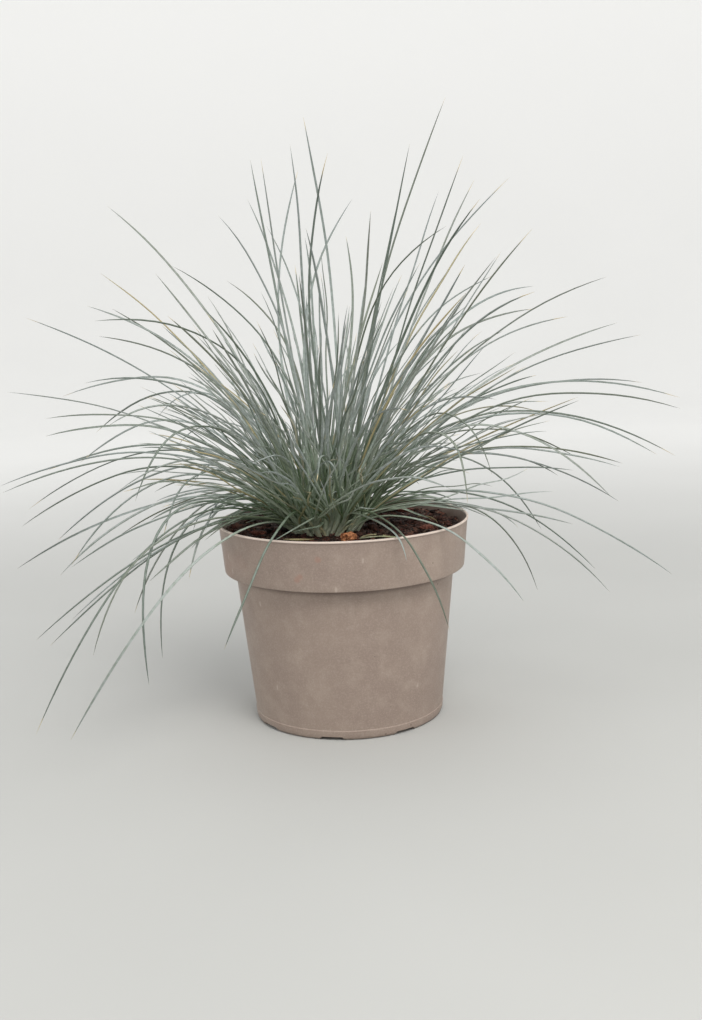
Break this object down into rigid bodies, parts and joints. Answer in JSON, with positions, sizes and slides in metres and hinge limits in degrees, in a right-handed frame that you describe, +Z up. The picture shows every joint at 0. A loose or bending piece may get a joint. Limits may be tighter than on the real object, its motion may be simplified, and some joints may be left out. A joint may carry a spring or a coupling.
{
  "type": "potted blue fescue clump",
  "caption": "Clump of blue fescue grass with fine arching blue-green blades, standing in dark bark compost in a round plastic nursery pot with a deep collar.",
  "frame": {"origin": "middle of the pot's base, on the surface that the pot stands on", "axes": "+Z up along the pot's axis, -Y towards the viewer of the picture, +X to the viewer's right"},
  "size_m": [0.5216, 0.4631, 0.4491],
  "materials": {
    "pot_plastic": "taupe moulded plastic, dusty, semi-matt",
    "soil": "dark damp bark and peat compost",
    "clod": "orange-brown crumbly bark",
    "bark": "rough reddish-brown bark",
    "grass": "matt blue-green grass blade with a pale bloom"
  },
  "bodies": {
    "root": {"pot": "pot_plastic", "soil": "soil", "bark_clod": "clod", "bark_chip_1": "bark", "bark_chip_2": "bark", "bark_chip_3": "bark", "bark_chip_4": "bark", "bark_chip_5": "bark", "tiller_01": "grass", "tiller_02": "grass", "tiller_03": "grass", "tiller_04": "grass", "tiller_05": "grass", "tiller_06": "grass", "tiller_07": "grass", "tiller_08": "grass", "tiller_09": "grass", "tiller_10": "grass", "tiller_11": "grass", "tiller_12": "grass", "tiller_13": "grass", "tiller_14": "grass", "tiller_15": "grass", "tiller_16": "grass", "tiller_17": "grass", "tiller_18": "grass", "tiller_19": "grass", "tiller_20": "grass", "tiller_21": "grass", "tiller_22": "grass", "tiller_23": "grass", "tiller_24": "grass", "tiller_25": "grass", "tiller_26": "grass", "tiller_27": "grass", "tiller_28": "grass", "tiller_29": "grass", "tiller_30": "grass", "tiller_31": "grass", "tiller_32": "grass", "tiller_33": "grass", "tiller_34": "grass", "tiller_35": "grass", "tiller_36": "grass", "tiller_37": "grass", "tiller_38": "grass", "tiller_39": "grass", "tiller_40": "grass", "tiller_41": "grass", "tiller_42": "grass", "tiller_43": "grass", "tiller_44": "grass", "tiller_45": "grass", "tiller_46": "grass", "tiller_47": "grass", "tiller_48": "grass"}
  },
  "joints": []
}
